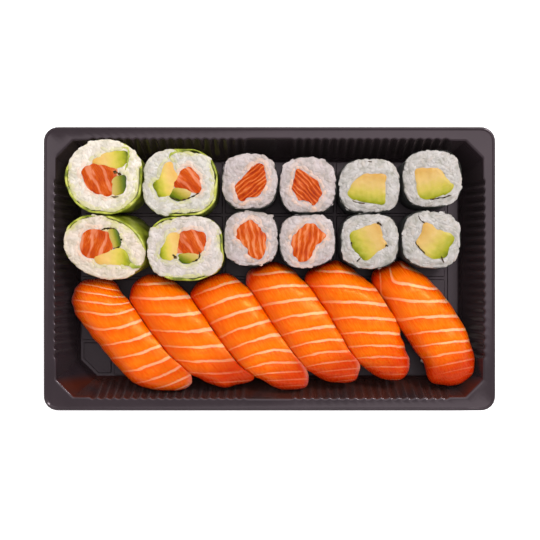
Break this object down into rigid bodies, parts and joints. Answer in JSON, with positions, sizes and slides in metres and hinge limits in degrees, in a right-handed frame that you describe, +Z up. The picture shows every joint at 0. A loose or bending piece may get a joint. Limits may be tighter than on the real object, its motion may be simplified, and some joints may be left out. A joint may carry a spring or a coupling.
{
  "type": "takeaway sushi tray",
  "caption": "Fluted black takeaway tray packed with cut green-wrapped rolls, salmon maki and avocado maki standing on end, and a row of salmon nigiri.",
  "frame": {"origin": "middle of the tray's underside, which is the middle of the bottom of the whole part's box", "axes": "+X along the tray's long side, +Y across it towards the rolls' side (the nigiri lie on the -Y side), +Z up"},
  "size_m": [0.215, 0.135, 0.03],
  "materials": {
    "black_plastic": "smooth glossy black thermoformed sheet, faintly warm, with soft highlights on its flutes",
    "green_wrap": "thin pale green wrap, smooth and slightly translucent, darker where it folds",
    "nori": "thin near-black seaweed sheet, finely crinkled",
    "rice": "cooked white short-grain rice, pressed, slightly sticky and translucent",
    "salmon": "raw salmon, moist, bright orange with pale lines of fat",
    "avocado": "soft ripe avocado, yellow inside turning green at the skin side",
    "cucumber": "wet pale green cucumber with a dark green skin edge"
  },
  "bodies": {
    "root": {"avocado_maki_1_avocado": "avocado", "avocado_maki_1_nori": "nori", "avocado_maki_1_rice": "rice", "avocado_maki_2_avocado": "avocado", "avocado_maki_2_nori": "nori", "avocado_maki_2_rice": "rice", "avocado_maki_3_avocado": "avocado", "avocado_maki_3_nori": "nori", "avocado_maki_3_rice": "rice", "avocado_maki_4_avocado": "avocado", "avocado_maki_4_nori": "nori", "avocado_maki_4_rice": "rice", "green_roll_1_avocado": "avocado", "green_roll_1_cucumber": "cucumber", "green_roll_1_green_wrap": "green_wrap", "green_roll_1_rice": "rice", "green_roll_1_salmon": "salmon", "green_roll_2_avocado": "avocado", "green_roll_2_cucumber": "cucumber", "green_roll_2_green_wrap": "green_wrap", "green_roll_2_rice": "rice", "green_roll_2_salmon": "salmon", "green_roll_3_avocado": "avocado", "green_roll_3_cucumber": "cucumber", "green_roll_3_green_wrap": "green_wrap", "green_roll_3_rice": "rice", "green_roll_3_salmon": "salmon", "green_roll_4_avocado": "avocado", "green_roll_4_cucumber": "cucumber", "green_roll_4_green_wrap": "green_wrap", "green_roll_4_rice": "rice", "green_roll_4_salmon": "salmon", "nigiri_1_rice": "rice", "nigiri_1_salmon": "salmon", "nigiri_2_rice": "rice", "nigiri_2_salmon": "salmon", "nigiri_3_rice": "rice", "nigiri_3_salmon": "salmon", "nigiri_4_rice": "rice", "nigiri_4_salmon": "salmon", "nigiri_5_rice": "rice", "nigiri_5_salmon": "salmon", "nigiri_6_rice": "rice", "nigiri_6_salmon": "salmon", "salmon_maki_1_nori": "nori", "salmon_maki_1_rice": "rice", "salmon_maki_1_salmon": "salmon", "salmon_maki_2_nori": "nori", "salmon_maki_2_rice": "rice", "salmon_maki_2_salmon": "salmon", "salmon_maki_3_nori": "nori", "salmon_maki_3_rice": "rice", "salmon_maki_3_salmon": "salmon", "salmon_maki_4_nori": "nori", "salmon_maki_4_rice": "rice", "salmon_maki_4_salmon": "salmon", "tray": "black_plastic"}
  },
  "joints": []
}
